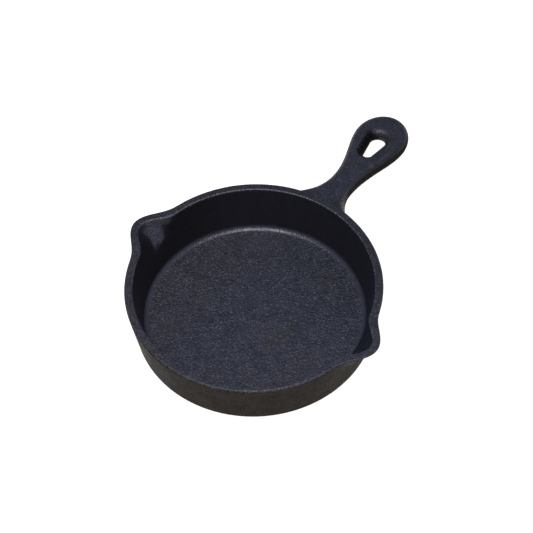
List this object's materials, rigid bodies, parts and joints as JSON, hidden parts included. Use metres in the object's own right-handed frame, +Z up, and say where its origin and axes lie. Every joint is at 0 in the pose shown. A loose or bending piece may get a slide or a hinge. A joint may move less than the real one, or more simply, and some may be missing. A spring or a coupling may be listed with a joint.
{
  "type": "cast iron skillet",
  "caption": "Small round cast iron skillet with a pour lip on each side and a flared handle ending in a teardrop hanging eye.",
  "frame": {"origin": "centre of the flat underside of the pan", "axes": "+Z up out of the pan, +Y from the pan towards the tip of the handle, +X towards the right pour lip when the handle points away"},
  "size_m": [0.1434, 0.1945, 0.029],
  "materials": {
    "iron_floor": "pebbled sand-cast iron with baked oil seasoning, blue-black, semi-matt",
    "iron_wall": "sand-cast iron with baked oil seasoning, black, satin",
    "iron_rim": "sand-cast iron with baked oil seasoning, blue-black, semi-matt with worn edges",
    "iron_handle": "sand-cast iron with baked oil seasoning, blue-black, semi-matt"
  },
  "bodies": {
    "root": {"pan_floor": "iron_floor", "side_wall": "iron_wall", "rim_handle_side": "iron_rim", "rim_far_side": "iron_rim", "pour_lip_left": "iron_rim", "pour_lip_right": "iron_rim", "handle_neck": "iron_handle", "handle_loop": "iron_handle"}
  },
  "joints": []
}
